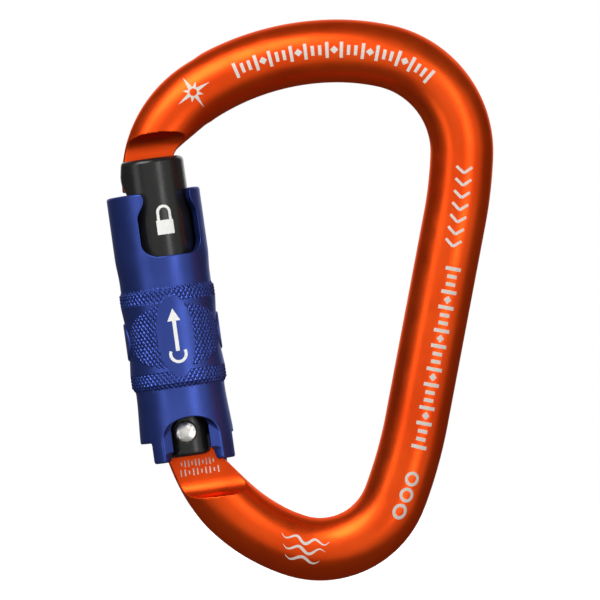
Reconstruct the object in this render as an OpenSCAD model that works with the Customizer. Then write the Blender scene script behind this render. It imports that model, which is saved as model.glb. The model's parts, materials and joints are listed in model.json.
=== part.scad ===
// Locking carabiner: a pear-shaped forged frame, a sprung gate and a lift-and-twist sleeve.
// Millimetres, +Z up. The frame lies in the XZ plane and -Y is its front.
// The origin is the crest of the wide basket's inner surface.

/* [Frame] */
// Diameter of the round bar
bar_d = 12.6; // [12.2:0.1:12.8]
// Radius of the bar's centre line just right of the crest
crest_r = 45; // [44:0.5:46]
// Radius of the long arc from the crest to the nose
left_r = 51.3; // [51:0.1:51.6]
// Radius of the arc that turns down into the nose
nose_r = 24.7; // [24.5:0.1:24.9]
// Radius of the wide basket's corner, at the bar's centre line
corner_r = 19.6; // [19:0.1:20]
// Radius of the bend from the corner into the spine
upper_blend_r = 86; // [80:1:90]
// Length of the straight part of the spine
spine_len = 41; // [40:0.5:42]
// Radius of the bend from the spine into the narrow basket
lower_blend_r = 92; // [88:1:96]
// Radius of the narrow basket, at the bar's centre line
basket_r = 16; // [15.8:0.1:16.2]
// Radius of the arm that rises to the hinge
hinge_arm_r = 32.7; // [32:0.1:33]

/* [Nose] */
// Thickness of the flat nose
nose_t = 5.4; // [5:0.1:5.6]
// Thickness of the neck that the gate's ribs reach round
neck_t = 3.6; // [3.2:0.1:3.8]
// Distance from the hinge to the nose's tip
nose_tip = 49.4; // [49.3:0.05:49.6]
// Distance from the hinge to the end of the nose's flats
nose_flat_end = 56; // [55.8:0.1:56.4]
// Radius of the milled step above the nose's flats
nose_step_r = 3.8; // [3.7:0.1:4]
// Distance from the gate's axis to the inner edge of the nose
nose_inner = 5; // [4.5:0.1:5.1]
// Distance from the gate's axis to the outer edge of the nose
nose_outer = 5.65; // [5.5:0.05:5.7]
// Radius of the nose's outer edge, seen from the front
nose_edge_r = 27.6; // [27.5:0.1:27.7]

/* [Hinge] */
// Distance of the hinge from the crest towards the gate
hinge_x = 30.25; // [30.1:0.05:30.4]
// Depth of the hinge below the crest
hinge_z = 69.75; // [69.6:0.05:69.9]
// Thickness of the tang between the fork's cheeks
tang_t = 4.4; // [4:0.1:4.6]
// Distance from the hinge to the end of the tang's flats
tang_flat_end = 10; // [9.5:0.1:10.5]
// Radius of the milled step below the tang's flats
tang_step_r = 4.3; // [4.2:0.1:4.5]
// Radius of the tang's round end
eye_r = 4.4; // [4.2:0.05:4.5]
// Height that the cam gains over the gate's swing
cam_rise = 0.9; // [0.6:0.05:1]
// Radius of the rivet's shank
rivet_r = 1.6; // [1.4:0.05:1.8]
// Radial clearance of the tang's bore round the rivet
rivet_gap = 0.05; // [0.03:0.01:0.08]
// Radius of the rivet's domed heads
rivet_head_r = 2.1; // [2:0.05:2.2]

/* [Gate] */
// Lean of the gate's axis from vertical
gate_tilt = 8; // [7.5:0.1:8.5]
// Height of the gate's head above the hinge
gate_top = 54.9; // [54.5:0.1:55]
// Radius of the gate's head
head_r = 7; // [6.9:0.05:7.05]
// Height of the shoulder under the head
head_base = 33; // [32:0.5:34]
// Radius of the gate's stem
stem_r = 5.6; // [5.5:0.05:5.7]
// Radius of the fork's round end
fork_r = 5.4; // [5.2:0.1:5.5]
// Gap between the fork's cheeks
fork_gap = 4.9; // [4.8:0.1:5]
// Clearance between the nose and the gate's slot
nose_gap = 0.3; // [0.25:0.05:0.35]
// Largest opening angle of the gate
gate_swing = 30; // [28:1:31]

/* [Sleeve] */
// Outer radius of the sleeve
sleeve_r = 9.4; // [9.2:0.05:9.4]
// Outer radius of the raised grip band
band_r = 9.6; // [9.5:0.05:9.8]
// Bore radius of the sleeve
sleeve_bore_r = 7.3; // [7.25:0.05:7.4]
// Height of the sleeve's top edge above the hinge
sleeve_top = 48.2; // [47.8:0.1:48.3]
// Height of the lowest skirt
sleeve_bottom = -7.6; // [-7.7:0.1:-7]
// Turn from the locked position to the open position
sleeve_turn = 110; // [100:5:115]
// Lift of the sleeve
sleeve_lift = 3.5; // [3:0.1:3.6]
// Direction of the window, from the front towards the right
window_dir = 20; // [15:1:25]
// Width of the window
window_w = 12.5; // [12:0.1:12.8]
// Height of the window's lowest point
window_base = 35.2; // [35:0.1:36]
// Width of the window's mouth between its lips
mouth_w = 9.6; // [9:0.1:10]

/* [Springs] */
// Wire diameter of the gate's spring
gate_wire = 0.55; // [0.5:0.05:0.6]
// Turns of the gate's spring
gate_turns = 10; // [8:1:12]
// Wire diameter of the sleeve's spring
sleeve_wire = 0.8; // [0.7:0.05:0.8]
// Turns of the sleeve's spring
sleeve_turns = 4.5; // [3.5:0.5:5]

/* [Hidden] */
$fn = 96;
bar_r = bar_d / 2;
crest_z = bar_r;

// Centre line, as [radius, turn] pieces from the crest; a positive turn is clockwise,
// and a radius of 0 is a straight of that length.
hinge_chain = [
    [crest_r, 12],
    [corner_r, 80.2],
    [upper_blend_r, 8.5],
    [0, spine_len],
    [lower_blend_r, 10],
    [basket_r, 86.8],
    [hinge_arm_r, 46.5]
];
nose_chain = [
    [left_r, -32],
    [nose_r, -43]
];
// Where the round bar ends and the flat tang starts, and the hinge centre
arm_end = walk([0, crest_z, 0], hinge_chain, 0);
pivot = [-hinge_x, -hinge_z];
// Centre of the nose's outer edge, across and up the gate's axis
nose_centre = [21.6, 47.8];

nose_half = nose_t / 2;
neck_half = neck_t / 2;
neck_low = nose_tip + 2.2;
neck_high = neck_low + 1.6;
tang_half = tang_t / 2;
fork_half = fork_gap / 2;
fork_top = 6;
cam_low = eye_r;

plunger_r = 2.2;
plunger_bore_r = 2.25;
plunger_bore_top = 30;
plunger_clear = 0.2;
plunger_low = cam_low + plunger_clear;
plunger_len = 7;

pin_r = 0.8;
pin_h = 12;
pin_reach = 7;
pocket_gap = 0.3;

liner_low = 5.5;
liner_high = 22;
liner_bore_r = stem_r + 0.06;
ring_low = liner_high + 0.1;
ring_t = 1.2;

window_r = window_w / 2;
reach = 30;
seam_gap = 0.1;

// Place and heading [x, z, heading] after one piece of centre line
function next_place(p, piece) =
    let (r = piece[0], turn = piece[1])
    r == 0
        ? [p[0] + turn * cos(p[2]), p[1] + turn * sin(p[2]), p[2]]
        : let (side = sign(turn), h = p[2] - turn)
          [p[0] + side * r * (sin(p[2]) - sin(h)),
           p[1] + side * r * (cos(h) - cos(p[2])),
           h];

// Place and heading after all the pieces from number i on
function walk(p, chain, i) =
    i == len(chain) ? p : walk(next_place(p, chain[i]), chain, i + 1);

// The first n pieces of a chain
function first_pieces(chain, n) = [for (i = [0:1:n - 1]) chain[i]];

// Lays XY geometry in the row's XZ plane, with local +Z towards the front
module in_plane() {
    rotate([90, 0, 0]) children();
}

// Puts geometry made round the gate's axis, hinge at the origin, in its place
module on_gate() {
    translate([pivot[0], 0, pivot[1]]) rotate([0, -gate_tilt, 0]) children();
}

// The same for in-plane shapes: local X across the gate, local Y up its axis
module on_gate_plane() {
    on_gate() in_plane() children();
}

// One piece of round bar, in the plane, stopping just short of both its ends
module bar_piece(p, piece) {
    r = piece[0];
    turn = piece[1];
    if (r == 0) {
        translate([p[0], p[1], 0]) rotate([0, 0, p[2]]) rotate([0, 90, 0])
            translate([0, 0, seam_gap]) cylinder(h = turn - 2 * seam_gap, r = bar_r);
    } else {
        side = sign(turn);
        trim = seam_gap / r * 180 / PI;
        first = turn > 0 ? p[2] + 90 - turn : p[2] - 90;
        translate([p[0] + side * r * sin(p[2]), p[1] - side * r * cos(p[2]), 0])
            rotate([0, 0, first + trim])
            rotate_extrude(angle = abs(turn) - 2 * trim) translate([r, 0]) circle(r = bar_r);
    }
}

// Thin collar that closes the gap between two pieces of bar
module bar_seam(p) {
    translate([p[0], p[1], 0]) rotate([0, 0, p[2]]) rotate([0, 90, 0])
        cylinder(h = 5 * seam_gap, r = bar_r + 0.03, center = true);
}

// A run of bar along a chain from the crest
module bar_run(heading, chain) {
    for (i = [0:len(chain) - 1]) {
        place = walk([0, crest_z, heading], first_pieces(chain, i), 0);
        bar_piece(place, chain[i]);
        if (i > 0 || heading == 0) {
            bar_seam(place);
        }
    }
}

// Solid swept round the hinge between two angles from the gate's axis; children are in (radius, Y)
module round_hinge(from, to) {
    on_gate_plane() rotate([0, 0, 90 - to]) rotate_extrude(angle = to - from) children();
}

// Section of a milled relief: flat out to flat_end, then a round step up to the bar's surface
module relief_section(half, flat_end, step_r, inner) {
    translate([inner, half]) square([flat_end - inner, bar_r]);
    intersection() {
        translate([flat_end, half + step_r]) circle(r = step_r);
        translate([flat_end - 0.01, half]) square([step_r + 0.01, step_r]);
    }
    translate([flat_end - 0.01, half + step_r]) square([step_r + 0.01, bar_r]);
}

// Outline of the nose, in the gate's plane
module nose_outline() {
    intersection() {
        translate(nose_centre) circle(r = nose_edge_r, $fn = 240);
        translate([-nose_outer, 0]) square([nose_outer + nose_inner, 2 * reach]);
    }
}

// Section of the nose before its flats are milled: a tip, a neck and the root
module nose_section() {
    blank = nose_t + 0.2;
    translate([nose_tip, -blank / 2]) square([neck_low - nose_tip, blank]);
    translate([neck_low - 0.01, -neck_half]) square([neck_high - neck_low + 0.02, neck_t]);
    translate([neck_high, -blank / 2]) square([5.5, blank]);
}

module nose() {
    intersection() {
        round_hinge(-12, 12) nose_section();
        on_gate_plane() linear_extrude(height = bar_d, center = true) nose_outline();
    }
}

// Removes the bar outside the nose's outer circle and under its inner edge
module nose_trim() {
    on_gate_plane() linear_extrude(height = 2 * bar_d, center = true) {
        polygon([[nose_inner, 40], [nose_inner, 55.3], [16.6, 62.4], [24, 40]]);
        translate([-18, 40]) square([36, neck_high - 40]);
    }
    on_gate_plane() linear_extrude(height = 2 * bar_d, center = true) difference() {
        translate([-24, 40]) square([26, 28]);
        translate(nose_centre) circle(r = nose_edge_r, $fn = 240);
    }
}

// Cam edge: a spiral that grows as the gate swings open
function cam_point(a) =
    let (r = cam_low + cam_rise * a / gate_swing)
    [r * sin(a), r * cos(a)];

module tang() {
    across = [cos(arm_end[2] - 90), sin(arm_end[2] - 90)];
    along = [cos(arm_end[2]), sin(arm_end[2])];
    foot = [arm_end[0], arm_end[1]] - along;
    in_plane() linear_extrude(height = tang_t, center = true) {
        translate(pivot) circle(r = eye_r);
        polygon([foot - bar_r * across, foot + bar_r * across,
                 pivot + eye_r * across, pivot - eye_r * across]);
    }
    on_gate_plane() linear_extrude(height = tang_t, center = true)
        polygon(concat([[0, 0], [0, cam_low]], [for (a = [4:4:gate_swing + 8]) cam_point(a)]));
}

// Narrows the bar and the tang on both sides as they run up into the fork, hinge at the origin
module hinge_trim() {
    top = 8;
    far = 24;
    in_plane() translate(pivot) linear_extrude(height = 2 * bar_d, center = true) {
        polygon([[17.4, -13.8], [7.1, -5.75], [5.6, -4], [4.7, -2], [4.7, top], [far, top]]);
        polygon([[3.4, -18.9], [-0.3, -12.9], [-3.7, -6.2], [-eye_r, -3], [-eye_r, top],
                 [-far, top], [-far, -far]]);
    }
}

module frame() {
    color([0.90, 0.30, 0.09]) difference() {
        union() {
            difference() {
                in_plane() {
                    bar_run(0, hinge_chain);
                    bar_run(180, nose_chain);
                }
                nose_trim();
            }
            nose();
            tang();
        }
        hinge_trim();
        for (side = [0, 1]) {
            mirror([0, side, 0]) {
                round_hinge(-24, 24) relief_section(nose_half, nose_flat_end, nose_step_r, 40);
                round_hinge(-180, 180) relief_section(tang_half, tang_flat_end, tang_step_r, 0);
            }
        }
        on_gate_plane() cylinder(h = 2 * bar_d, r = rivet_r + rivet_gap, center = true);
    }
}

// Slot section round the nose, with ribs that reach into its neck
module slot_section() {
    half = nose_half + nose_gap;
    low = nose_tip - 0.35;
    rib_low = neck_low + 0.35;
    rib_high = neck_high - 0.35;
    translate([low, -half]) square([rib_low - low, 2 * half]);
    translate([rib_low - 0.01, -neck_half - nose_gap])
        square([rib_high - rib_low + 0.02, neck_t + 2 * nose_gap]);
    translate([rib_high, -half]) square([8, 2 * half]);
}

module gate_blank() {
    edge = 0.9;
    rotate_extrude() polygon([[0, -fork_r - 1], [stem_r, -fork_r - 1], [stem_r, head_base],
        [head_r, head_base], [head_r, gate_top - edge], [head_r - edge * 0.3, gate_top - edge * 0.3],
        [head_r - edge, gate_top], [0, gate_top]]);
}

module gate_body() {
    chin = 50.2;
    color([0.07, 0.07, 0.075]) difference() {
        on_gate() gate_blank();
        // Round end of the fork
        on_gate_plane() difference() {
            translate([-reach, -reach, -reach]) cube([2 * reach, reach, 2 * reach]);
            cylinder(h = 3 * reach, r = fork_r, center = true);
        }
        // Gap between the cheeks
        on_gate() translate([-reach, -fork_half, -reach]) cube([2 * reach, fork_gap, reach + fork_top]);
        // Bore for the plunger and its spring
        on_gate() translate([0, 0, fork_top - 1])
            cylinder(h = plunger_bore_top - fork_top + 1, r = plunger_bore_r);
        // Slot that takes the nose
        intersection() {
            round_hinge(-20, 20) slot_section();
            on_gate_plane() translate([-reach, 0, -reach])
                cube([reach + nose_inner + nose_gap, 3 * reach, 2 * reach]);
        }
        // Flat on the outer side of the head, running in below the chin
        on_gate_plane() linear_extrude(height = 2 * reach, center = true)
            polygon([[-reach, 47.5], [-5.1, 47.5], [-5.9, chin], [-5.9, gate_top - 1.4],
                     [-5.2, gate_top + 1], [-reach, gate_top + 1]]);
        // Rivet bore and the seats of its heads
        on_gate_plane() cylinder(h = 3 * bar_d, r = rivet_r, center = true);
        for (side = [-1, 1]) {
            on_gate_plane() translate([0, 0, side * (4.9 + bar_r / 2)])
                cylinder(h = bar_r, r = rivet_head_r + 0.05, center = true);
        }
        // Guide pin's hole
        on_gate() translate([0, 3, pin_h]) rotate([-90, 0, 0]) cylinder(h = reach, r = pin_r);
    }
}

module hinge_rivet() {
    head_h = 1.25;
    dome_r = (rivet_head_r * rivet_head_r + 0.8 * 0.8) / 1.6;
    color([0.80, 0.80, 0.80]) on_gate_plane() {
        cylinder(h = 9.8, r = rivet_r, center = true);
        for (side = [0, 1]) {
            mirror([0, 0, side]) translate([0, 0, 4.9]) intersection() {
                cylinder(h = head_h, r = rivet_head_r);
                translate([0, 0, head_h - dome_r]) sphere(r = dome_r);
            }
        }
    }
}

module guide_pin() {
    color([0.70, 0.70, 0.72]) on_gate() translate([0, 3, pin_h])
        rotate([-90, 0, 0]) cylinder(h = pin_reach - 3, r = pin_r);
}

// Ring of a coil's wire at turn fraction t
function coil_ring(coil_r, wire_r, low, pitch, t, sides) =
    [for (k = [0:sides - 1])
        let (a = 360 * k / sides, r = coil_r + wire_r * cos(a))
        [r * cos(360 * t), r * sin(360 * t), low + pitch * t + wire_r * sin(a)]];

// Helical spring as one closed tube
module coil(coil_r, wire_r, low, high, turns, per_turn) {
    sides = 8;
    rings = round(turns * per_turn);
    pitch = (high - low - 2 * wire_r) / turns;
    points = [for (i = [0:rings])
        each coil_ring(coil_r, wire_r, low + wire_r, pitch, i / per_turn, sides)];
    walls = [for (i = [0:rings - 1], k = [0:sides - 1])
        let (n = (k + 1) % sides, a = i * sides, b = a + sides)
        each [[a + k, b + n, b + k], [a + k, a + n, b + n]]];
    first_cap = [for (k = [0:sides - 1]) k];
    last_cap = [for (k = [sides - 1:-1:0]) rings * sides + k];
    polyhedron(points = points, faces = concat([first_cap], walls, [last_cap]));
}

module gate_spring() {
    color([0.75, 0.75, 0.77]) on_gate()
        coil(plunger_r - gate_wire / 2 - 0.2, gate_wire / 2, plunger_low + plunger_len + 0.05,
             plunger_bore_top - 0.05, gate_turns, 14);
}

module gate_plunger() {
    color([0.72, 0.72, 0.74]) on_gate() translate([0, 0, plunger_low]) intersection() {
        cylinder(h = plunger_len, r = plunger_r);
        union() {
            translate([0, 0, plunger_r]) sphere(r = plunger_r);
            translate([0, 0, plunger_r]) cylinder(h = plunger_len, r = plunger_r);
        }
    }
}

// Wedge of space round the gate's axis between two directions, front 0 and right 90
module wedge(from, to, low, high) {
    translate([0, 0, low]) rotate([0, 0, from - 90])
        rotate_extrude(angle = to - from) square([2 * sleeve_r, high - low]);
}

// Outline of the window: a round-bottomed slot with lips at its mouth
module window_outline() {
    lip = (window_w - mouth_w) / 2;
    corner = 3;
    translate([-window_r + corner, window_base + corner]) circle(r = corner);
    translate([window_r - corner, window_base + corner]) circle(r = corner);
    translate([-window_r + corner, window_base]) square([window_w - 2 * corner, 12]);
    translate([-window_r, window_base + corner]) square([window_w, sleeve_top - 3 - window_base - corner]);
    translate([-mouth_w / 2, sleeve_top - 4]) square([mouth_w, 8]);
    polygon([[-window_r, sleeve_top - 3.1], [-window_r + lip, sleeve_top - 1.2],
             [window_r - lip, sleeve_top - 1.2], [window_r, sleeve_top - 3.1]]);
}

module sleeve_shell() {
    arch_r = 8;
    arch_top = 2.9;
    arch_half = 5.8;
    color([0.16, 0.22, 0.58]) on_gate() difference() {
        rotate_extrude() difference() {
            polygon([[5, sleeve_bottom], [9.4, sleeve_bottom], [sleeve_r, 0], [8.9, 8.2], [8.95, 9.3],
                     [band_r, 10], [band_r, 28.4], [9.15, 29.2], [9.1, 30.5], [sleeve_r, 36],
                     [sleeve_r, sleeve_top], [5, sleeve_top]]);
            translate([0, sleeve_bottom - 1]) square([sleeve_bore_r, sleeve_top - sleeve_bottom + 2]);
            polygon([[sleeve_bore_r - 1, sleeve_bottom - 1], [8.7, sleeve_bottom - 1],
                     [sleeve_bore_r, -5], [sleeve_bore_r - 1, -5]]);
        }
        // Window
        rotate([0, 0, window_dir]) rotate([90, 0, 0]) linear_extrude(height = 2 * sleeve_r)
            window_outline();
        // Arch over the rivet, and the step on the outer side that clears the tang when turned
        rotate([0, 0, 8]) rotate([90, 0, 0]) linear_extrude(height = 2 * sleeve_r) intersection() {
            translate([0, arch_top - arch_r]) circle(r = arch_r);
            translate([-arch_half, -2 * sleeve_r]) square([2 * arch_half, 3 * sleeve_r]);
        }
        wedge(-28, 44, sleeve_bottom - 1, -4);
        wedge(-60, -26, sleeve_bottom - 1, -5.6);
        wedge(40, 104, sleeve_bottom - 1, -6.2);
        wedge(140, 311, sleeve_bottom - 1, -1.4);
        // Slot that clears the tang when the gate swings inwards
        translate([0, -2.65, sleeve_bottom - 1]) cube([2 * sleeve_r, 5.3, -1.4 - sleeve_bottom + 1]);
    }
}

module sleeve_liner() {
    pad = asin((pin_r + pocket_gap) / liner_bore_r);
    color([0.85, 0.85, 0.82]) on_gate() difference() {
        translate([0, 0, liner_low]) cylinder(h = liner_high - liner_low, r = sleeve_bore_r);
        translate([0, 0, liner_low - 1]) cylinder(h = liner_high - liner_low + 2, r = liner_bore_r);
        wedge(180 - pad, 180 + sleeve_turn + pad, pin_h - sleeve_lift - pin_r - pocket_gap,
              pin_h + pin_r + pocket_gap);
    }
}

module thrust_ring() {
    color([0.62, 0.62, 0.64]) on_gate() translate([0, 0, ring_low]) difference() {
        cylinder(h = ring_t, r = sleeve_bore_r - 0.25);
        translate([0, 0, -1]) cylinder(h = ring_t + 2, r = stem_r + 0.1);
    }
}

module sleeve_spring() {
    color([0.75, 0.75, 0.77]) on_gate()
        coil((stem_r + sleeve_bore_r) / 2, sleeve_wire / 2, ring_low + ring_t + 0.05, head_base - 0.05,
             sleeve_turns, 24);
}

frame();
gate_body();
hinge_rivet();
guide_pin();
gate_spring();
gate_plunger();
sleeve_shell();
sleeve_liner();
thrust_ring();
sleeve_spring();
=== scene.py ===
"""Locking carabiner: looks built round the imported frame. Shapes are worked out in millimetres."""

import json
import math

import bpy
import numpy as np
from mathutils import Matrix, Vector


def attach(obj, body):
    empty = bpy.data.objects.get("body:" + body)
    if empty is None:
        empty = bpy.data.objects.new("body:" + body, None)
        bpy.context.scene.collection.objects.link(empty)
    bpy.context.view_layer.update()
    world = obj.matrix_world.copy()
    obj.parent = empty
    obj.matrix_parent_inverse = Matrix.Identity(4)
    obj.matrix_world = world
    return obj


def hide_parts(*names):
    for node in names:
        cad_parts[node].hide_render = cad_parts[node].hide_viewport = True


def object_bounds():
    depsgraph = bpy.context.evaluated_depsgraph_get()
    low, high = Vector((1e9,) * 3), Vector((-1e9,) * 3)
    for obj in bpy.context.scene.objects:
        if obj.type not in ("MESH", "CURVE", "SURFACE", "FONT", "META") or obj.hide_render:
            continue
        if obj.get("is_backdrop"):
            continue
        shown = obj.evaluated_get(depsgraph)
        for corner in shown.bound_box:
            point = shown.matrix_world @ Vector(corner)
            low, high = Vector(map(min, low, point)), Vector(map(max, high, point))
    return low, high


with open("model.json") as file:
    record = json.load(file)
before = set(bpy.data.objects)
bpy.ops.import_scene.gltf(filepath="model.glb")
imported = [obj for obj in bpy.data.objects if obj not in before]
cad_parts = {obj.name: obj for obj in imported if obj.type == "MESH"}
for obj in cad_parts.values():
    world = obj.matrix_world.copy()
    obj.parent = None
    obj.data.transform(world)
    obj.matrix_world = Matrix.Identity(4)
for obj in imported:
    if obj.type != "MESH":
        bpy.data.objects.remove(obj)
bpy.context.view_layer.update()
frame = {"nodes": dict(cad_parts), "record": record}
MM = 0.001

# ---------------------------------------------------------------- sizes, in mm

# Centre line of the bar from the crest, as (radius, degrees) arcs and (0, length) straights
BAR_R = 6.3
HINGE_CHAIN = [(45, 12), (19.6, 80.2), (86, 8.5), (0, 41), (92, 10), (16, 86.8), (32.7, 57.7)]
NOSE_CHAIN = [(51.3, 32), (24.7, 43)]
# Degrees that the last arc of each chain runs on past its end
CHAIN_END = 25

# The gate's axis leans over the hinge; u is across it, h is up it
GATE_TILT = math.radians(8)
TILT_COS, TILT_SIN = math.cos(GATE_TILT), math.sin(GATE_TILT)

# Nose and hinge ends of the frame
NOSE_HALF, NECK_HALF = 2.7, 1.8
NOSE_TIP, NECK_LOW, NECK_HIGH = 49.2, 51.6, 53.2
NOSE_FLAT_END, NOSE_STEP_R = 56.0, 3.8
NOSE_CENTRE, NOSE_EDGE_R = (21.6, 47.8), 27.6
NOSE_INNER = 5.0
TANG_HALF, TANG_FLAT_END, TANG_STEP_R = 2.2, 9.5, 4.1
EYE_R, CAM_RISE, GATE_SWING = 4.4, 0.9, 30
EYE_LEAN, EYE_TAPER, CAM_PAST = math.radians(-254.5), 0.9, 8
BORE_R = 1.65

# The nose's half width round NOSE_CENTRE: it draws in from one direction over a span, in degrees,
# and both its trims fade out over FADE_SPAN where the round bar starts
NOSE_ROOT_HALF, NOSE_DRAW_IN, NOSE_DRAW_POWER = 6.27, 1.6, 1.6
NOSE_DRAW_FROM, NOSE_DRAW_SPAN = 125, 30
INNER_FADE, INNER_FADE_FROM, OUTER_FADE, OUTER_FADE_FROM, FADE_SPAN = 0.7, 128, 1.5, 112, 12

# The arm's edges near the hinge, across and up from it: an outer arc, a shoulder and a cheek
ARM_CENTRE, ARM_R = (47.3, 12.5), 54.2
SHOULDER, SHOULDER_FADE, SHOULDER_FADE_FROM = ((7.0, -5.25), (14.7, -11.7)), 0.02, 12
CHEEK = ((6.95, -5.1), (5.0, -2.9))

# Where the nose's shape and the tang's shape take over from the round bar
NOSE_ZONE_H, NOSE_ZONE_U = 30, 16
TANG_ZONE_X, TANG_ZONE_Z = 26, 30

# Gate
GATE_TOP, HEAD_R, HEAD_BASE = 54.9, 7.0, 33.0
STEM_R, FORK_SIDE, FORK_END, FORK_HALF, FORK_TOP = 5.6, 4.6, -4.92, 2.45, 6.0
FORK_FLARE, FORK_FLARE_FROM = 0.5, 0.4
PLUNGER_BORE_R, PLUNGER_BORE_TOP = 2.25, 30.0
CHIN, BROW, CHIN_ZONE = ((-5.05, 48.1), (-5.98, 50.2)), ((-6.0, 51.6), (-5.5, 54.4)), 46
SLOT_INNER, SLOT_HALF, SLOT_LOW = 5.3, 3.0, 49.05
RIB_LOW, RIB_HIGH, RIB_HALF = 51.95, 52.85, 2.1
RIVET_R, RIVET_HEAD_R, RIVET_SEAT, RIVET_TIP, RIVET_DOME = 1.6, 2.13, 4.9, 6.12, 0.55

# Sleeve
SLEEVE_R, SLEEVE_BORE_R = 9.4, 7.3
SLEEVE_TOP, SLEEVE_BOTTOM = 48.2, -7.6
# The bore opens in a cone below this height
CONE_TOP, CONE_SLOPE = -5, 1.4 / 3.6
# Radius at the waist above and below the band, and the flare from there: rise, start and span
UPPER_R, UPPER_FLARE = 9.1, (0.28, 30.8, 5.2)
LOWER_R, LOWER_FLARE = 8.9, (0.5, 8.4, 11.0)
BAND_MID, BAND_HALF, BAND_BEVEL = 19.2, 9.3, 0.6
PAD_R, KNURL_R = 9.5, 9.57
GRIP_DIR = 5
# Half sizes of the band's areas, across and up; the lens and the side pad are in degrees across
OVAL, LENS, SIDE_PAD = (3.9, 8.2), (70, 6.35), (17, 3.7)
STRIP_FROM, DISH_DEEP, DISH_HALF, DISH_SPAN = 6.95, 0.3, 6.9, 3.0
KNURL_COLUMNS, KNURL_ROW, KNURL_DEEP, KNURL_FLAT = 31, 1.32, 0.17, 0.72
WINDOW_DIR, WINDOW_HALF, WINDOW_BASE, WINDOW_CORNER = 20, 6.25, 35.2, 3.0
LIP_IN, LIP_FROM, LIP_SPAN = 1.35, 43.0, 3.6
ARCH_DIR, ARCH_R, ARCH_TOP, ARCH_HALF, ARCH_FLARE = 8, 8.0, 2.9, 5.8, 1.05
# Cuts up into the lower edge, as first direction, last direction and top
RIVET_CUT = (-28, 44, -4)
SKIRT_CUTS = ((-60, -26, -5.6), (40, 129, -6.3), (140, 311, -1.4))
TANG_SLOT_HALF, TANG_SLOT_TOP = 2.5, -1.3
# Distance from the axis where a cut starts, so that it opens one side only
CUT_START = 2


def joint_place(name):
    """Place of a joint in the row frame, in mm."""
    for joint in frame["record"]["behaviour"]["joints"]:
        if joint["name"] == name:
            return [value / MM for value in joint["pos_m"]]


# ---------------------------------------------------------------- field helpers


def both(a, b, r):
    """Where both solids are, with the edge rounded to radius r."""
    corner = np.hypot(np.maximum(a + r, 0), np.maximum(b + r, 0))
    return np.minimum(-r, np.maximum(a, b)) + corner


def either(a, b, r):
    """Where either solid is, with the inner corner filled to radius r."""
    return -both(-a, -b, r)


def without(a, b, r):
    """Solid a less solid b, with the edge rounded to radius r."""
    return both(a, -b, r)


def ease(t):
    """Smooth step from 0 to 1 as t goes from 0 to 1."""
    t = np.clip(t, 0, 1)
    return t * t * (3 - 2 * t)


def above_line(x, z, start, end):
    """Distance on the left side of the line from start to end."""
    dx, dz = end[0] - start[0], end[1] - start[1]
    size = math.hypot(dx, dz)
    return ((z - start[1]) * dx - (x - start[0]) * dz) / size


# ---------------------------------------------------------------- bar centre line


def chain_pieces(chain, heading, side):
    """Arcs and straights of one chain, each with its place, its length and where it starts."""
    x, z, s = 0.0, BAR_R, 0.0
    pieces = []
    for radius, amount in chain:
        h = math.radians(heading)
        if radius == 0:
            pieces.append(("line", x, z, h, amount, s, side))
            x, z, s = x + amount * math.cos(h), z + amount * math.sin(h), s + amount
            continue
        cx, cz = x + side * radius * math.sin(h), z - side * radius * math.cos(h)
        turn = math.radians(amount)
        pieces.append(("arc", cx, cz, h + side * math.pi / 2, turn, s, side, radius))
        heading -= side * amount
        h = math.radians(heading)
        x, z = cx - side * radius * math.sin(h), cz + side * radius * math.cos(h)
        s += radius * turn
    return pieces


BAR_PIECES = chain_pieces(HINGE_CHAIN, 0, 1) + chain_pieces(NOSE_CHAIN, 180, -1)
LAST_PIECES = (len(HINGE_CHAIN) - 1, len(BAR_PIECES) - 1)


def bar_offset(x, z):
    """Signed distance from the bar's centre line, outwards from the loop."""
    best = np.full(np.shape(x), 60.0)
    for number, piece in enumerate(BAR_PIECES):
        if piece[0] == "line":
            _, px, pz, h, length, _, _ = piece
            along = (x - px) * math.cos(h) + (z - pz) * math.sin(h)
            out = (z - pz) * math.cos(h) - (x - px) * math.sin(h)
            held = (along >= 0) & (along <= length)
        else:
            _, cx, cz, first, turn, _, side, radius = piece
            out = np.hypot(x - cx, z - cz) - radius
            travel = (first - np.arctan2(z - cz, x - cx)) * side
            travel = (travel + 1) % (2 * math.pi) - 1
            extra = math.radians(CHAIN_END) if number in LAST_PIECES else 0
            held = (travel >= -1e-9) & (travel <= turn + extra)
        nearer = held & (np.abs(out) < np.abs(best))
        best = np.where(nearer, out, best)
    return best


def bar_place(s):
    """Centre line point and outward direction at arc length s; s is negative towards the nose."""
    side = 1 if s >= 0 else -1
    left = abs(s)
    for piece in BAR_PIECES:
        length = piece[4] if piece[0] == "line" else piece[4] * piece[7]
        if piece[6] != side:
            continue
        if left <= length or piece is BAR_PIECES[-1]:
            break
        left -= length
    if piece[0] == "line":
        _, px, pz, h, _, _, _ = piece
        out = (-math.sin(h), math.cos(h))
        return px + left * math.cos(h), pz + left * math.sin(h), out
    _, cx, cz, first, _, _, _, radius = piece
    a = first - side * left / radius
    out = (math.cos(a), math.sin(a))
    return cx + radius * out[0], cz + radius * out[1], out


# ---------------------------------------------------------------- the gate's frame

hinge_place = joint_place("gate_hinge")
PIVOT_X, PIVOT_Z = hinge_place[0], hinge_place[2]


def to_gate(x, z):
    """Across and up the gate's axis from the hinge."""
    dx, dz = x - PIVOT_X, z - PIVOT_Z
    return dx * TILT_COS + dz * TILT_SIN, dz * TILT_COS - dx * TILT_SIN


def from_gate(u, h):
    """Row place of a point across and up the gate's axis."""
    return PIVOT_X + u * TILT_COS - h * TILT_SIN, PIVOT_Z + u * TILT_SIN + h * TILT_COS


# ---------------------------------------------------------------- frame


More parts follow.
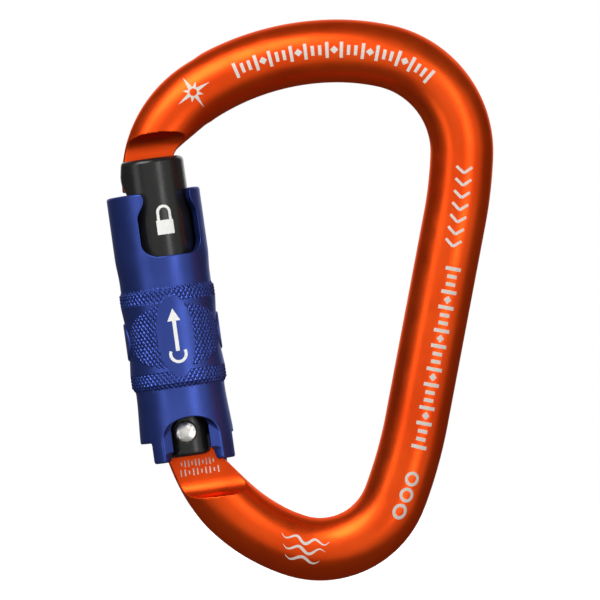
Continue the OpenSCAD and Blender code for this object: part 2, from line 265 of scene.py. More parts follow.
def nose_trims(u, h):
    """The nose's outer edge, and the bar's inner edge where it runs down into the nose."""
    du, dh = u - NOSE_CENTRE[0], h - NOSE_CENTRE[1]
    reach = np.hypot(du, dh)
    turn = np.degrees(np.arctan2(dh, du)) % 360
    narrow = np.clip((turn - NOSE_DRAW_FROM) / NOSE_DRAW_SPAN, 0, 2)
    half = NOSE_ROOT_HALF - NOSE_DRAW_IN * narrow ** NOSE_DRAW_POWER
    half = half + INNER_FADE * ease((INNER_FADE_FROM - turn) / FADE_SPAN)
    inner = either(u - NOSE_INNER, NOSE_EDGE_R - 2 * half - reach, 1.2)
    outer = reach - NOSE_EDGE_R - OUTER_FADE * ease((OUTER_FADE_FROM - turn) / FADE_SPAN)
    return outer, inner


def hinge_trims(dx, dz):
    """The outer and inner edges of the arm as it narrows towards the hinge."""
    outer = np.hypot(dx - ARM_CENTRE[0], dz - ARM_CENTRE[1]) - ARM_R
    fade = SHOULDER_FADE * np.maximum(dx - SHOULDER_FADE_FROM, 0) ** 2
    shoulder = above_line(dx, dz, *SHOULDER) - fade
    cheek = -above_line(dx, dz, *CHEEK)
    return outer, either(shoulder, cheek, 0.8)


def eye_edge(dx, dz, u, h):
    """Round end of the tang with its cam."""
    reach = np.hypot(dx, dz)
    swing = np.degrees(np.arctan2(u, h))
    cam = EYE_R + CAM_RISE * np.clip(swing, 0, GATE_SWING + CAM_PAST) / GATE_SWING
    cam = np.where(swing > 90, EYE_R, cam)
    along = dx * math.cos(EYE_LEAN) + dz * math.sin(EYE_LEAN)
    across = np.abs(dz * math.cos(EYE_LEAN) - dx * math.sin(EYE_LEAN))
    return np.where(along > 0, reach - cam, across - EYE_R + EYE_TAPER * along)


def relief(reach, y, half, flat_end, step_r):
    """Milled flat that ends in a round step; negative on the metal that stays."""
    depth = np.abs(y)
    step = step_r - np.hypot(reach - flat_end, depth - half - step_r)
    return np.where(reach < flat_end, depth - half, np.where(depth > half + step_r, 9.0, step))


def frame_field(x, y, z):
    """Signed field of the frame, in mm."""
    u, h = to_gate(x, z)
    dx, dz = x - PIVOT_X, z - PIVOT_Z
    reach = np.hypot(dx, dz)
    bar = np.hypot(bar_offset(x, z), y) - BAR_R
    # Nose: drawn-in edges, flats with a round step, a neck for the gate's ribs and a square tip
    outer, inner = nose_trims(u, h)
    flats = relief(reach, y, NOSE_HALF, NOSE_FLAT_END, NOSE_STEP_R)
    nose = both(both(both(bar, outer, 0.6), inner, 0.9), both(flats, outer, 0.8), 0.12)
    groove = np.maximum(NECK_HALF - np.abs(y), np.maximum(NECK_LOW - reach, reach - NECK_HIGH))
    nose = both(without(nose, groove, 0.1), NOSE_TIP - reach, 0.35)
    # Hinge: a narrowed arm, flats with a straight round step, the eye and the rivet's bore
    outer, inner = hinge_trims(dx, dz)
    flats = relief(-h, y, TANG_HALF, TANG_FLAT_END, TANG_STEP_R)
    tang = both(both(both(bar, outer, 0.8), inner, 0.8), both(flats, outer, 0.9), 0.12)
    tang = both(tang, eye_edge(dx, dz, u, h), 0.15)
    tang = both(tang, BORE_R - reach, 0.12)
    body = np.where((h > NOSE_ZONE_H) & (u < NOSE_ZONE_U), nose, bar)
    return np.where((dx < TANG_ZONE_X) & (np.abs(dz) < TANG_ZONE_Z), tang, body)


# ---------------------------------------------------------------- gate


def gate_field(u, y, h):
    """Signed field of the gate, in mm, in the gate's frame."""
    rho = np.hypot(u, y)
    stem = both(rho - STEM_R, h - HEAD_BASE - 1, 0.1)
    head = both(rho - HEAD_R, HEAD_BASE - h, 0.2)
    head = both(head, h - GATE_TOP, 1.1)
    outer_flat = both(above_line(u, h, *CHIN), above_line(u, h, *BROW), 0.9)
    head = both(head, np.where(h > CHIN_ZONE, outer_flat, -3.0), 0.5)
    body = either(stem, head, 0.05)
    fork_side = np.abs(u) - FORK_SIDE - FORK_FLARE * np.maximum(h - FORK_FLARE_FROM, 0)
    body = both(body, both(fork_side, FORK_END - h, 1.6), 0.8)
    gap = np.maximum(np.abs(y) - FORK_HALF, h - FORK_TOP)
    body = without(body, gap, 0.25)
    bore = np.maximum(rho - PLUNGER_BORE_R, np.maximum(h - PLUNGER_BORE_TOP, FORK_TOP - 1 - h))
    body = without(body, bore, 0.1)
    reach = np.hypot(u, h)
    slot = np.maximum(np.abs(y) - SLOT_HALF, SLOT_LOW - reach)
    ribs = np.maximum(np.maximum(RIB_LOW - reach, reach - RIB_HIGH), RIB_HALF - np.abs(y))
    slot = np.maximum(np.maximum(slot, -ribs), u - SLOT_INNER)
    slot = np.where(h > NOSE_ZONE_H, slot, 5.0)
    body = without(body, slot, 0.12)
    rivet = np.maximum(reach - RIVET_R, np.abs(y) - 9)
    seat = np.maximum(reach - RIVET_HEAD_R - 0.03, RIVET_SEAT - np.abs(y))
    body = without(body, rivet, 0.05)
    return without(body, seat, 0.12)


def rivet_field(u, y, h):
    """Signed field of the hinge rivet with its lightly hammered heads."""
    reach = np.hypot(u, h)
    dome_r = (RIVET_HEAD_R ** 2 + RIVET_DOME ** 2) / (2 * RIVET_DOME)
    dents = 0.022 * np.sin(2.9 * u + 1.3) * np.sin(3.3 * h + 0.4) + 0.012 * np.sin(4.1 * u - 2.7 * h)
    head_y = np.abs(y)
    dome = np.hypot(reach, head_y - (RIVET_TIP - dome_r)) - dome_r + dents
    head = both(both(reach - RIVET_HEAD_R, dome, 0.18), RIVET_SEAT - head_y, 0.05)
    shank = np.maximum(reach - RIVET_R + 0.01, head_y - RIVET_SEAT - 0.2)
    return np.minimum(head, shank)


# ---------------------------------------------------------------- sleeve


def knurl(unit, off):
    """Height from 0 to 1 of the diamond knurl."""
    across = unit * KNURL_COLUMNS / 180
    first = np.abs((across + off / KNURL_ROW) % 1 - 0.5) * 2
    second = np.abs((across - off / KNURL_ROW) % 1 - 0.5) * 2
    return np.minimum(np.minimum(first, second), KNURL_FLAT) / KNURL_FLAT


def oval(across, off, halves):
    """Below 0 inside an ellipse with these half sizes, and above 0 outside it."""
    return np.hypot(across / halves[0], off / halves[1]) - 1


def sleeve_outer(angle, h):
    """Outer radius of the sleeve, with its waist, its flare and its grip band."""
    rise, start, span = UPPER_FLARE
    upper = UPPER_R + rise * ease((h - start) / span)
    rise, start, span = LOWER_FLARE
    tube = np.where(h < BAND_MID, LOWER_R + rise * ease((start - h) / span), upper)
    off = h - BAND_MID
    level = np.abs(off)
    unit = (angle - GRIP_DIR + 90) % 180 - 90
    across = np.radians(unit) * PAD_R
    in_oval = ease(0.5 - oval(across, off, OVAL) * OVAL[0] / 0.25)
    in_lens = ease(0.5 - oval(unit, off, LENS) * LENS[1] / 0.3)
    in_side = ease(0.5 - oval(np.abs(unit) - 90, off, SIDE_PAD) * SIDE_PAD[1] / 0.4)
    in_strip = ease((level - STRIP_FROM) / 0.3 + 0.5)
    rough = np.maximum(in_lens, in_strip) * (1 - in_oval)
    dished = (1 - in_lens) * (1 - in_strip) * (1 - in_side) * (1 - in_oval)
    dish = DISH_DEEP * np.clip((DISH_HALF - level) / DISH_SPAN, 0, 1)
    band = PAD_R + 0.04 - 0.05 * in_oval - dish * dished
    band = band - rough * (KNURL_DEEP - (KNURL_R - PAD_R - 0.04 + KNURL_DEEP) * knurl(unit, off))
    edge = np.where(off > 0, level - BAND_HALF + 0.15, level - BAND_HALF)
    band = band - BAND_BEVEL * np.maximum(edge, 0)
    return np.maximum(tube, band)


def wedge(angle, h, first, last, top):
    """Space under height top between two directions, as a box on the unrolled sleeve."""
    middle, half = (first + last) / 2, math.radians(last - first) / 2
    across = np.abs(np.radians((angle - middle + 180) % 360 - 180))
    return both((across - half) * SLEEVE_R, h - top, 0.5)


def window(rho, angle, h):
    """Round-bottomed window with lips at its mouth."""
    turn = np.radians(angle - WINDOW_DIR)
    across, ahead = np.abs(rho * np.sin(turn)), rho * np.cos(turn)
    half = WINDOW_HALF - LIP_IN * ease((h - LIP_FROM) / LIP_SPAN)
    a, b = across - half + WINDOW_CORNER, WINDOW_BASE - h + WINDOW_CORNER
    opening = np.hypot(np.maximum(a, 0), np.maximum(b, 0)) + np.minimum(np.maximum(a, b), 0)
    return np.maximum(opening - WINDOW_CORNER, CUT_START - ahead)


def arch(rho, angle, h):
    """Arch over the rivet, with flared walls."""
    turn = np.radians(angle - ARCH_DIR)
    across, ahead = np.abs(rho * np.sin(turn)), rho * np.cos(turn)
    roof = np.hypot(across, h - ARCH_TOP + ARCH_R) - ARCH_R
    roof = np.where(h < ARCH_TOP - ARCH_R, across - ARCH_R, roof)
    walls = (across - ARCH_HALF + (SLEEVE_R - rho) * ARCH_FLARE) * 0.7
    return np.maximum(both(roof, walls, 1.1), CUT_START - ahead)


def sleeve_field(u, y, h):
    """Signed field of the sleeve, in mm, in the gate's frame."""
    rho = np.hypot(u, y)
    angle = np.degrees(np.arctan2(u, -y))
    body = rho - sleeve_outer(angle, h)
    rim = both(h - SLEEVE_TOP, -window(rho, angle, h), 1.2)
    body = both(body, h - SLEEVE_TOP, 0.6)
    cone = SLEEVE_BORE_R + CONE_SLOPE * np.maximum(CONE_TOP - h, 0)
    body = both(body, cone - rho, 0.15)
    body = both(body, rim, 0.15)
    lower = -wedge(angle, h, *RIVET_CUT)
    for cut in SKIRT_CUTS:
        lower = both(lower, -wedge(angle, h, *cut), 0.6)
    lower = both(lower, SLEEVE_BOTTOM - h, 0.3)
    lower = both(lower, -arch(rho, angle, h), 0.5)
    body = both(body, lower, 0.25)
    slot = np.maximum(np.maximum(np.abs(y) - TANG_SLOT_HALF, h - TANG_SLOT_TOP), CUT_START - u)
    return without(body, slot, 0.15)


# ---------------------------------------------------------------- fields to meshes


def surface_net(value, axes, wrap):
    """Quads round the zero surface of values on a grid; wrap joins the ends of the first axis."""
    inside = value < 0
    count = np.array(value.shape) - 1
    total = np.zeros(count, np.int8)
    for i in (0, 1):
        for j in (0, 1):
            for k in (0, 1):
                total += inside[i:i + count[0], j:j + count[1], k:k + count[2]]
    cells = np.argwhere((total > 0) & (total < 8))
    index = np.full(count, -1)
    index[tuple(cells.T)] = np.arange(len(cells))
    place, crossings = np.zeros((len(cells), 3)), np.zeros(len(cells))
    for axis in range(3):
        for j in (0, 1):
            for k in (0, 1):
                start = np.zeros(3, int)
                start[(axis + 1) % 3], start[(axis + 2) % 3] = j, k
                end = start.copy()
                end[axis] = 1
                a, b = value[tuple((cells + start).T)], value[tuple((cells + end).T)]
                cut = (a < 0) != (b < 0)
                share = a[cut] / (a[cut] - b[cut])
                place[cut] += start + share[:, None] * (end - start)
                crossings += cut
    place /= crossings[:, None]
    points = np.empty_like(place)
    for axis in range(3):
        grid = axes[axis]
        low = grid[cells[:, axis]]
        points[:, axis] = low + place[:, axis] * (grid[cells[:, axis] + 1] - low)
    quads = []
    for axis in range(3):
        e, f = (axis + 1) % 3, (axis + 2) % 3
        first = [slice(None)] * 3
        second = [slice(None)] * 3
        first[axis], second[axis] = slice(0, -1), slice(1, None)
        edges = np.argwhere(inside[tuple(first)] != inside[tuple(second)])
        keep = (edges[:, e] < count[e]) & (edges[:, f] < count[f])
        if not (wrap and e == 0):
            keep &= edges[:, e] > 0
        if not (wrap and f == 0):
            keep &= edges[:, f] > 0
        edges = edges[keep]
        ring = []
        for j, k in ((1, 1), (0, 1), (0, 0), (1, 0)):
            cell = edges.copy()
            cell[:, e] = (cell[:, e] - j) % count[e]
            cell[:, f] = (cell[:, f] - k) % count[f]
            ring.append(index[tuple(cell.T)])
        ring = np.stack(ring, 1)
        leaving = inside[tuple(edges.T)]
        ring[~leaving] = ring[~leaving][:, ::-1]
        quads.append(ring)
    return points, np.concatenate(quads)


def slope(field, points):
    """Gradient of a field at points."""
    step = 0.01
    out = np.empty_like(points)
    for axis in range(3):
        shift = np.zeros(3)
        shift[axis] = step
        out[:, axis] = (field(*(points + shift).T) - field(*(points - shift).T)) / (2 * step)
    return out


def settle(field, points, rounds, reach):
    """Moves points onto the field's zero surface, each by no more than reach a round."""
    for _ in range(rounds):
        grad = slope(field, points)
        size = np.maximum((grad ** 2).sum(1), 0.05)
        move = (field(*points.T) / size)[:, None] * grad
        length = np.linalg.norm(move, axis=1)[:, None]
        points = points - move * np.minimum(1, reach / np.maximum(length, 1e-9))
    return points


def spans(start, *stops):
    """Grid values from start on; each stop is an end and the step up to it."""
    grid = [np.array([start])]
    for end, step in stops:
        low = grid[-1][-1]
        count = max(1, round((end - low) / step))
        grid.append(low + (end - low) * np.arange(1, count + 1) / count)
    return np.concatenate(grid)


def gate_points(points):
    """Points in the gate's frame as row points."""
    x, z = from_gate(points[:, 0], points[:, 2])
    return np.stack([x, points[:, 1], z], 1)


def gate_directions(vectors):
    """Directions in the gate's frame as row directions."""
    return np.stack([vectors[:, 0] * TILT_COS - vectors[:, 2] * TILT_SIN, vectors[:, 1],
                     vectors[:, 0] * TILT_SIN + vectors[:, 2] * TILT_COS], 1)


def new_object(name, points, faces, finish, normals=None):
    """Mesh object from points in mm."""
    mesh = bpy.data.meshes.new(name)
    if isinstance(faces, np.ndarray):
        faces = faces.tolist()
    mesh.from_pydata((np.asarray(points) * MM).tolist(), [], faces)
    mesh.update()
    mesh.polygons.foreach_set("use_smooth", [True] * len(mesh.polygons))
    mesh.materials.append(finish)
    if normals is not None:
        mesh.normals_split_custom_set_from_vertices(normals.tolist())
    thing = bpy.data.objects.new(name, mesh)
    bpy.context.scene.collection.objects.link(thing)
    return thing


def thinned(points, quads, most):
    """The same surface with at most that many triangles, fewest where it is smoothest."""
    mesh = bpy.data.meshes.new("thin")
    mesh.from_pydata(points.tolist(), [], quads.tolist())
    thing = bpy.data.objects.new("thin", mesh)
    bpy.context.scene.collection.objects.link(thing)
    modifier = thing.modifiers.new("thin", "DECIMATE")
    modifier.ratio = most / (2 * len(quads))
    after = thing.evaluated_get(bpy.context.evaluated_depsgraph_get()).to_mesh()
    out = np.empty(len(after.vertices) * 3)
    after.vertices.foreach_get("co", out)
    faces = [list(face.vertices) for face in after.polygons]
    bpy.data.objects.remove(thing)
    bpy.data.meshes.remove(mesh)
    return out.reshape(-1, 3), faces


def solid_from(name, field, axes, finish, gate=False, tube=False, most=None):
    """Object round a field's zero surface; tube makes the grid (degrees, height, radius)."""
    a, b, c = (grid.reshape([-1 if i == axis else 1 for i in range(3)])
               for axis, grid in enumerate(axes))
    if tube:
        turn = np.radians(a)
        value = field(c * np.sin(turn), -c * np.cos(turn), b)
    else:
        value = field(a, b, c)
    points, faces = surface_net(value, axes, tube)
    if tube:
        turn = np.radians(points[:, 0])
        points = np.stack([points[:, 2] * np.sin(turn), -points[:, 2] * np.cos(turn), points[:, 1]], 1)
    points = settle(field, points, 3, 0.15)
    if most:
        points, faces = thinned(points, faces, most)
        points = settle(field, points, 2, 0.05)
    normals = slope(field, points)
    normals /= np.maximum(np.linalg.norm(normals, axis=1), 1e-9)[:, None]
    if gate:
        points, normals = gate_points(points), gate_directions(normals)
    return new_object(name, points, faces, finish, normals)


# ---------------------------------------------------------------- materials


def material(name):
    """New material with its node tree, its shader and its object coordinates."""
    made = bpy.data.materials.new(name)
    made.use_nodes = True
    nodes, links = made.node_tree.nodes, made.node_tree.links
    shader = nodes["Principled BSDF"]
    coordinates = nodes.new("ShaderNodeTexCoord")
    return made, nodes, links, shader, coordinates.outputs["Object"]


def noise(nodes, links, where, scale, detail=2.0):
    """Noise value at a scale in cycles a metre."""
    texture = nodes.new("ShaderNodeTexNoise")
    texture.inputs["Scale"].default_value = scale
    texture.inputs["Detail"].default_value = detail
    links.new(where, texture.inputs["Vector"])
    return texture.outputs["Fac"]


def remap(nodes, links, value, low, high, to_low, to_high):
    """Value moved from one range to another, and held there."""
    node = nodes.new("ShaderNodeMapRange")
    for name, number in (("From Min", low), ("From Max", high), ("To Min", to_low), ("To Max", to_high)):
        node.inputs[name].default_value = number
    links.new(value, node.inputs["Value"])
    return node.outputs["Result"]


def two_colours(nodes, links, share, first, second):
    """Mix of two colours by a value."""
    node = nodes.new("ShaderNodeMix")
    node.data_type = "RGBA"
    node.inputs["A"].default_value = (*first, 1)
    node.inputs["B"].default_value = (*second, 1)
    links.new(share, node.inputs["Factor"])
    return node.outputs["Result"]


def bump(nodes, links, shader, height, distance):
    """Surface relief of a height in metres."""
    node = nodes.new("ShaderNodeBump")
    node.inputs["Strength"].default_value = 1.0
    node.inputs["Distance"].default_value = distance
    links.new(height, node.inputs["Height"])
    links.new(node.outputs["Normal"], shader.inputs["Normal"])


def anodised(name, deep, bright, metallic, rough_low, rough_high, tint, sealed, grain=9000, depth=4e-6):
    """Bead-blasted and dyed aluminium: fine grain, soft clouds of dye and handling marks."""
    made, nodes, links, shader, where = material(name)
    clouds = noise(nodes, links, where, 60, 3)
    share = remap(nodes, links, clouds, 0.35, 0.65, 0, 1)
    links.new(two_colours(nodes, links, share, deep, bright), shader.inputs["Base Color"])
    handled = noise(nodes, links, where, 300, 4)
    links.new(remap(nodes, links, handled, 0.3, 0.7, rough_low, rough_high), shader.inputs["Roughness"])
    bump(nodes, links, shader, noise(nodes, links, where, grain, 2), depth)
    shader.inputs["Metallic"].default_value = metallic
    shader.inputs["Specular Tint"].default_value = (*tint, 1)
    shader.inputs["Coat Weight"].default_value = sealed
    shader.inputs["Coat Roughness"].default_value = 0.4
    return made


def plain_metal(name, colour, rough, scale, stretch, depth):
    """Bare metal with marks that run along one direction."""
    made, nodes, links, shader, where = material(name)
    mapping = nodes.new("ShaderNodeMapping")
    mapping.inputs["Scale"].default_value = stretch
    links.new(where, mapping.inputs["Vector"])
    marks = noise(nodes, links, mapping.outputs["Vector"], scale, 3)
    dull = tuple(value * 0.75 for value in colour)
    links.new(two_colours(nodes, links, marks, dull, colour), shader.inputs["Base Color"])
    links.new(remap(nodes, links, marks, 0.3, 0.7, rough * 0.7, rough * 1.3), shader.inputs["Roughness"])
    bump(nodes, links, shader, marks, depth)
    shader.inputs["Metallic"].default_value = 1.0
    return made


def printed(name, colour, rough):
    """Laser-marked or printed layer with faint speckle."""
    made, nodes, links, shader, where = material(name)
    speckle = noise(nodes, links, where, 6000, 2)
    dull = tuple(value * 0.8 for value in colour)
    share = remap(nodes, links, speckle, 0.35, 0.6, 0, 1)
    links.new(two_colours(nodes, links, share, dull, colour), shader.inputs["Base Color"])
    roughness = remap(nodes, links, speckle, 0.3, 0.7, rough - 0.08, rough + 0.08)
    links.new(roughness, shader.inputs["Roughness"])
    bump(nodes, links, shader, speckle, 3e-6)
    return made


def moulded(name, colour, rough):
    """Moulded engineering plastic."""
    made, nodes, links, shader, where = material(name)
    clouds = noise(nodes, links, where, 500, 3)
    dull = tuple(value * 0.9 for value in colour)
    links.new(two_colours(nodes, links, clouds, dull, colour), shader.inputs["Base Color"])
    roughness = remap(nodes, links, clouds, 0.3, 0.7, rough - 0.05, rough + 0.05)
    links.new(roughness, shader.inputs["Roughness"])
    bump(nodes, links, shader, noise(nodes, links, where, 4000, 2), 4e-6)
    return made


orange = anodised("orange_anodised", (0.78, 0.062, 0.005), (0.86, 0.084, 0.008), 0.93, 0.32, 0.40,
                  (0.8, 0.45, 0.3), 0.04)
black = anodised("black_anodised", (0.006, 0.006, 0.006), (0.011, 0.0105, 0.010), 0.0, 0.22, 0.30,
                 (0.75, 0.75, 0.75), 0.0)
blue = anodised("blue_anodised", (0.030, 0.056, 0.27), (0.038, 0.070, 0.32), 0.86, 0.36, 0.44,
                (0.5, 0.5, 0.6), 0.15)
steel = plain_metal("rivet_steel", (0.90, 0.88, 0.84), 0.34, 900, (1, 1, 1), 8e-6)
wire = plain_metal("spring_wire", (0.55, 0.55, 0.57), 0.28, 2500, (1, 1, 0.2), 3e-6)
turned = plain_metal("turned_steel", (0.62, 0.62, 0.64), 0.24, 1800, (1, 1, 6), 3e-6)
mark_grey = printed("laser_mark", (0.66, 0.62, 0.56), 0.55)
mark_white = printed("pad_print", (0.86, 0.87, 0.84), 0.45)
acetal = moulded("acetal", (0.72, 0.71, 0.66), 0.42)

# ---------------------------------------------------------------- main pieces

# Grids in mm, with fine steps at the milled ends and coarse ones along the plain bar and stem
frame_axes = (spans(-46.6, (-12.6, 0.26), (31.7, 0.5)),
              np.linspace(-6.6, 6.6, 45),
              spans(-100, (-87, 0.5), (-63, 0.26), (-23, 0.6), (-5, 0.26), (13.1, 0.5)))
body = solid_from("frame_forging", frame_field, frame_axes, orange)
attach(body, "frame_body")
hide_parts("frame")

side = spans(-7.3, (7.3, 0.2))
gate_axes = (side, side, spans(-5.8, (7, 0.22), (32, 0.6), (55.3, 0.2)))
gate = solid_from("gate_forging", gate_field, gate_axes, black, gate=True)
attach(gate, "gate")
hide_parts("gate_body")

small = spans(-2.3, (2.3, 0.11))
rivet_axes = (small, spans(-6.4, (-4.6, 0.1), (4.6, 0.6), (6.4, 0.1)), small)
rivet = solid_from("rivet_domed", rivet_field, rivet_axes, steel, gate=True)
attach(rivet, "gate")
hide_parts("hinge_rivet")

sleeve_axes = (np.linspace(-180, 180, 421),
               spans(-8, (4, 0.2), (9, 0.35), (29.6, 0.16), (34.4, 0.4), (48.7, 0.2)),
               spans(6.9, (9.8, 0.18)))
SLEEVE_TRIANGLES = 198000
shell = solid_from("sleeve_turned", sleeve_field, sleeve_axes, blue, gate=True, tube=True,
                   most=SLEEVE_TRIANGLES)
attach(shell, "sleeve")
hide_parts("sleeve_shell")

for node_name, finish in (("guide_pin", steel), ("gate_spring", wire), ("gate_plunger", turned),
                          ("sleeve_liner", acetal), ("thrust_ring", turned), ("sleeve_spring", wire)):
    thing = frame["nodes"][node_name]
    for material_slot in thing.material_slots:
        material_slot.material = finish

# ---------------------------------------------------------------- marks

# How far the marks stand proud of the surface and reach into it, and their cell size
LIFT, SINK = 0.018, 0.06
PITCH, RING_PITCH = 0.4, 0.25
# Along the bar, places are arc lengths from the crest and distances outwards round its section
TICK_HEIGHT = 3.2
CREST_SCALE = (-20.8, 19.4, 29, 0.0, TICK_HEIGHT, 0.66)
STAR_AT, STAR_SIZE = (-30.3, 0.3), 3.7
CHEVRONS, CHEVRON_START, CHEVRON_STEP, CHEVRON_MIDDLE = 7, 39.2, 2.45, 0.5
SPINE_SCALE = (59.6, 95.6, 24, 1.5, TICK_HEIGHT, 0.72)
RINGS, RING_START, RING_STEP, RING_MIDDLE = 3, 102.0, 3.3, 1.9
WAVES, WAVE_START, WAVE_LENGTH, WAVE_HIGH, WAVE_ROW = 3, 129.3, 10.6, 0.55, 1.9
# Rows of ticks on the hinge flat, as first and last place across and height, in the gate's frame
HINGE_ROWS, HINGE_TICKS = ((-1.8, 4.6, -6.4), (-2.1, 5.4, -8.2)), 10
# Padlock: place round the gate's head, lowest edge, width and height of its body, shackle
LOCK_AT, LOCK_BASE, LOCK_W, LOCK_H = 1.78, 39.5, 3.5, 2.85
SHACKLE_R, SHACKLE_LEG, SHACKLE_W = 1.22, 1.55, 0.55
# Lift-and-turn sign: heights of the arrow's foot, neck and tip, and the turn mark under it
ARROW_FOOT, ARROW_NECK, ARROW_TIP, TURN_AT = 16.2, 22.4, 24.6, 15.6


def on_bar(s, v, lift):
    """Row point on the bar's front at arc length s and distance v outwards round its section."""
    cx, cz, out = bar_place(s)
    a = v / BAR_R
    r = BAR_R + lift
    return cx + out[0] * r * math.sin(a), -r * math.cos(a), cz + out[1] * r * math.sin(a)


def on_tube(radius):
    """Placing function round the gate's axis: distance round from the front, and height."""
    def place(s, v, lift):
        a = s / radius
        x, z = from_gate((radius + lift) * math.sin(a), v)
        return x, -(radius + lift) * math.cos(a), z
    return place


def on_flat(depth):
    """Placing function on a front flat at that depth, in the gate's frame."""
    def place(s, v, lift):
        x, z = from_gate(s, v)
        return x, -(depth + lift), z
    return place


class Marks:
    """Thin closed ribbons laid on a surface and joined in one piece."""

    def __init__(self, place):
        self.place = place
        self.points = []
        self.faces = []

    def ribbon(self, path, widths, closed=False):
        """Ribbon along a path of (s, v) points with a width at each point."""
        path = [np.array(p, float) for p in path]
        count, columns = len(path), max(2, math.ceil(max(widths) / PITCH) + 1)
        base = len(self.points)
        for i in range(count):
            before = path[i - 1] if closed or i > 0 else path[i]
            after = path[(i + 1) % count] if closed or i < count - 1 else path[i]
            way = (after - before) / max(np.linalg.norm(after - before), 1e-9)
            across = np.array([-way[1], way[0]])
            for lift in (LIFT, -SINK):
                for k in range(columns):
                    s, v = path[i] + across * widths[i] * (k / (columns - 1) - 0.5)
                    self.points.append(self.place(s, v, lift))
        row = 2 * columns
        steps = range(count if closed else count - 1)
        ring = list(range(columns)) + list(range(row - 1, columns - 1, -1))
        for i in steps:
            a, b = base + i * row, base + (i + 1) % count * row
            for k in range(row):
                n = (k + 1) % row
                self.faces.append((a + ring[k], b + ring[k], b + ring[n], a + ring[n]))
        if not closed:
            last = base + (count - 1) * row
            for k in range(columns - 1):
                self.faces.append((base + k, base + k + 1, base + columns + k + 1, base + columns + k))
                self.faces.append((last + k, last + columns + k, last + columns + k + 1, last + k + 1))

    def line(self, start, end, width, end_width=None):
        """Straight stroke between two points."""
        start, end = np.array(start, float), np.array(end, float)
        count = max(2, math.ceil(np.linalg.norm(end - start) / PITCH) + 1)
        shares = np.linspace(0, 1, count)
        final = width if end_width is None else end_width
        self.ribbon([start + (end - start) * t for t in shares],
                    [width + (final - width) * t for t in shares])

    def ring(self, centre, radius, width, first=0, last=360):
        """Round stroke, whole or from one angle to another."""
        whole = last - first >= 360
        count = max(8, math.ceil(math.radians(last - first) * radius / RING_PITCH))
        angles = np.radians(np.linspace(first, last, count, endpoint=not whole))
        path = [(centre[0] + radius * math.cos(a), centre[1] + radius * math.sin(a)) for a in angles]
        self.ribbon(path, [width] * count, whole)

    def diamond(self, centre, length, width):
        """Diamond with its long axis along s."""
        s, v = centre
        for way in (-1, 1):
            self.line((s, v), (s + way * length / 2, v), width, 0.04)

    def finish(self, name, finish, body_name, slot_name):
        """Makes the piece and lets it ride on its body."""
        thing = new_object(name, self.points, self.faces, finish)
        thing.data.polygons.foreach_set("use_smooth", [False] * len(self.faces))
        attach(thing, body_name)


def scale_row(marks, first, last, count, middle, height, width):
    """Row of ticks in groups of five, with small diamonds between the groups."""
    for i in range(count):
        s = first + (last - first) * i / (count - 1)
        if i % 5 == 4:
            marks.diamond((s, middle), height * 0.5, height * 0.5)
        else:
            tall = height if i % 5 in (0, 3) else height * 0.62
            marks.line((s, middle - tall / 2), (s, middle + tall / 2), width)


def star(marks, centre, size):
    """Four long and four short points round a small gap."""
    for i in range(8):
        a = math.radians(45 * i)
        far = size if i % 2 == 0 else size * 0.55
        near = size * 0.2
        way = np.array([math.cos(a), math.sin(a)])
        marks.line(centre + way * near, centre + way * far, size * 0.24, 0.05)


crest_marks = Marks(on_bar)
scale_row(crest_marks, *CREST_SCALE)
crest_marks.finish("marks_crest", mark_grey, "frame_body", "frame_anodised")

star_mark = Marks(on_bar)
star(star_mark, np.array(STAR_AT), STAR_SIZE)
star_mark.finish("mark_star", mark_grey, "frame_body", "frame_anodised")

spine_marks = Marks(on_bar)
for i in range(CHEVRONS):
    s = CHEVRON_START + CHEVRON_STEP * i
    for way in (-1, 1):
        spine_marks.line((s + 1.3, CHEVRON_MIDDLE), (s, CHEVRON_MIDDLE + way * 1.6), 0.55)
scale_row(spine_marks, *SPINE_SCALE)
for i in range(RINGS):
    spine_marks.ring((RING_START + RING_STEP * i, RING_MIDDLE), 1.15, 0.62)
spine_marks.finish("marks_spine", mark_grey, "frame_body", "frame_anodised")

wave_marks = Marks(on_bar)
for i in range(WAVES):
    length = WAVE_LENGTH - 2.2 * i
    shares = np.linspace(0, 1, 40)
    start = WAVE_START + length / 2
    level, crests = -1.6 + WAVE_ROW * i, 2.5 - 0.5 * i
    path = [(start - length * t, level + WAVE_HIGH * math.sin(2 * math.pi * crests * t)) for t in shares]
    wave_marks.ribbon(path, [0.08 + 0.5 * math.sin(math.pi * t) for t in shares])
wave_marks.finish("marks_waves", mark_grey, "frame_body", "frame_anodised")

hinge_marks = Marks(on_flat(TANG_HALF))
for row, (first, last, level) in enumerate(HINGE_ROWS):
    for i in range(HINGE_TICKS):
        s = first + (last - first) * i / (HINGE_TICKS - 1)
        tall = 1.35 if (i + row) % 3 else 0.75
        hinge_marks.line((s, level - tall / 2), (s, level + tall / 2), 0.24)
hinge_marks.finish("marks_hinge", mark_grey, "frame_body", "frame_anodised")

# Padlock on the gate's head, and a lift-and-turn sign on the sleeve's pad
lock = Marks(on_tube(HEAD_R))
lock_top = LOCK_BASE + LOCK_H
lock.line((LOCK_AT, LOCK_BASE), (LOCK_AT, lock_top), LOCK_W)
legs = 0.31 * np.arange(6)
up = [(LOCK_AT - SHACKLE_R, lock_top - 0.02 + step) for step in legs]
over = [(LOCK_AT - SHACKLE_R * math.cos(a), lock_top + SHACKLE_LEG + SHACKLE_R * math.sin(a))
        for a in np.linspace(0.2, math.pi - 0.2, 12)]
down = [(LOCK_AT + SHACKLE_R, lock_top + SHACKLE_LEG - step) for step in legs]
shackle = up + over + down
lock.ribbon(shackle, [SHACKLE_W] * len(shackle))
lock.finish("mark_padlock", mark_white, "gate", "gate_anodised")

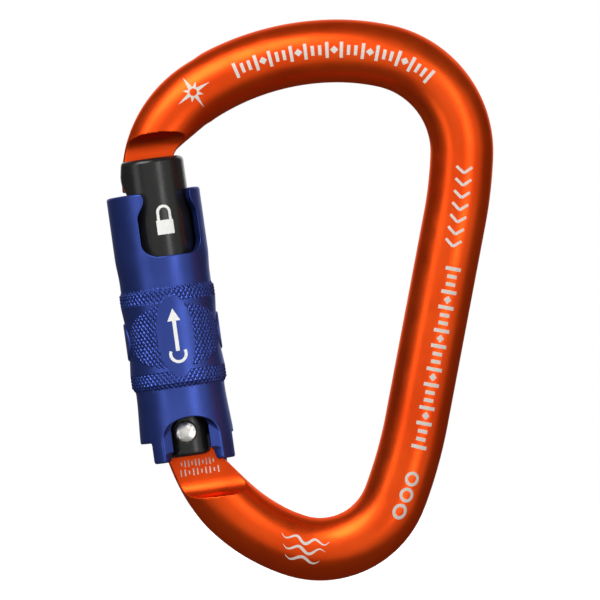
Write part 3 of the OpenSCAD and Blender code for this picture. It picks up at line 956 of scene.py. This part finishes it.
sign = Marks(on_tube(PAD_R - 0.01))
sign_s = math.radians(GRIP_DIR) * PAD_R
sign.line((sign_s, ARROW_FOOT), (sign_s, ARROW_NECK), 0.75)
sign.line((sign_s, ARROW_NECK - 0.2), (sign_s, ARROW_TIP), 2.6, 0.1)
sign.ring((sign_s, TURN_AT), 1.55, 0.6, -205, 25)
sign.finish("mark_lift", mark_white, "sleeve", "sleeve_anodised")

# ---------------------------------------------------------------- floor, light and camera

low, high = (Vector(corner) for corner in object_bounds())
middle = (low + high) / 2


def area_light(name, place, size, power):
    """Soft light at a place, in metres, aimed at the middle of the object."""
    lamp = bpy.data.lights.new(name, "AREA")
    lamp.shape = "RECTANGLE"
    lamp.size, lamp.size_y = size
    lamp.energy = power
    thing = bpy.data.objects.new(name, lamp)
    thing.location = place
    thing.rotation_euler = (middle - Vector(place)).to_track_quat("-Z", "Y").to_euler()
    thing.visible_camera = False
    bpy.context.scene.collection.objects.link(thing)


area_light("key", (-0.30, -0.50, 0.50), (0.46, 0.46), 5.2)
area_light("front", (0.6, -1.3, -0.1), (3.6, 2.3), 17.0)
area_light("back", (0, 1.2, 0.5), (2.0, 1.2), 9.0)
# Two upright strips that draw long highlights down the bar and the sleeve
area_light("left_strip", (-0.62, -0.60, 0.0), (0.26, 0.9), 1.4)
area_light("right_strip", (0.36, -0.62, 0.02), (0.14, 0.60), 1.2)

FLOOR_HALF, FLOOR_GAP = 0.45, 0.0005
floor_z = low.z - FLOOR_GAP
corners = [(-FLOOR_HALF, -FLOOR_HALF), (FLOOR_HALF, -FLOOR_HALF), (FLOOR_HALF, FLOOR_HALF),
           (-FLOOR_HALF, FLOOR_HALF)]
floor_mesh = bpy.data.meshes.new("floor")
floor_mesh.from_pydata([(x, y, floor_z) for x, y in corners], [], [(0, 1, 2, 3)])
floor = bpy.data.objects.new("floor", floor_mesh)
bpy.context.scene.collection.objects.link(floor)
# The floor glows, so that it reads as white in the camera, and stays out of reflections
floor_paint, _, _, floor_shader, _ = material("floor_paint")
floor_shader.inputs["Base Color"].default_value = (0.9, 0.9, 0.9, 1)
floor_shader.inputs["Roughness"].default_value = 0.9
floor_shader.inputs["Specular IOR Level"].default_value = 0.1
floor_shader.inputs["Emission Color"].default_value = (1, 1, 1, 1)
floor_shader.inputs["Emission Strength"].default_value = 0.8
floor_mesh.materials.append(floor_paint)
floor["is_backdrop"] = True
floor.visible_glossy = False
floor.visible_diffuse = False

# The world is white behind the object and dim grey where it lights it
world = bpy.data.worlds.new("studio")
bpy.context.scene.world = world
world.use_nodes = True
world_nodes, world_links = world.node_tree.nodes, world.node_tree.links
background = world_nodes["Background"]
background.inputs["Color"].default_value = (0.16, 0.155, 0.15, 1)
backdrop = world_nodes.new("ShaderNodeBackground")
backdrop.inputs["Color"].default_value = (1, 1, 1, 1)
seen = world_nodes.new("ShaderNodeLightPath")
mix = world_nodes.new("ShaderNodeMixShader")
world_links.new(seen.outputs["Is Camera Ray"], mix.inputs["Fac"])
world_links.new(background.outputs["Background"], mix.inputs[1])
world_links.new(backdrop.outputs["Background"], mix.inputs[2])
world_links.new(mix.outputs["Shader"], world_nodes["World Output"].inputs["Surface"])

VIEW_DISTANCE, VIEW_WIDTH, SENSOR = 1.2, 0.12, 36
lens = bpy.data.cameras.new("camera")
lens.sensor_width = SENSOR
lens.lens = SENSOR * VIEW_DISTANCE / VIEW_WIDTH
lens.clip_end = 10
camera = bpy.data.objects.new("camera", lens)
camera.location = (middle.x, -VIEW_DISTANCE, middle.z)
camera.rotation_euler = (math.pi / 2, 0, 0)
bpy.context.scene.collection.objects.link(camera)
bpy.context.scene.camera = camera
bpy.context.scene.view_settings.view_transform = "Standard"
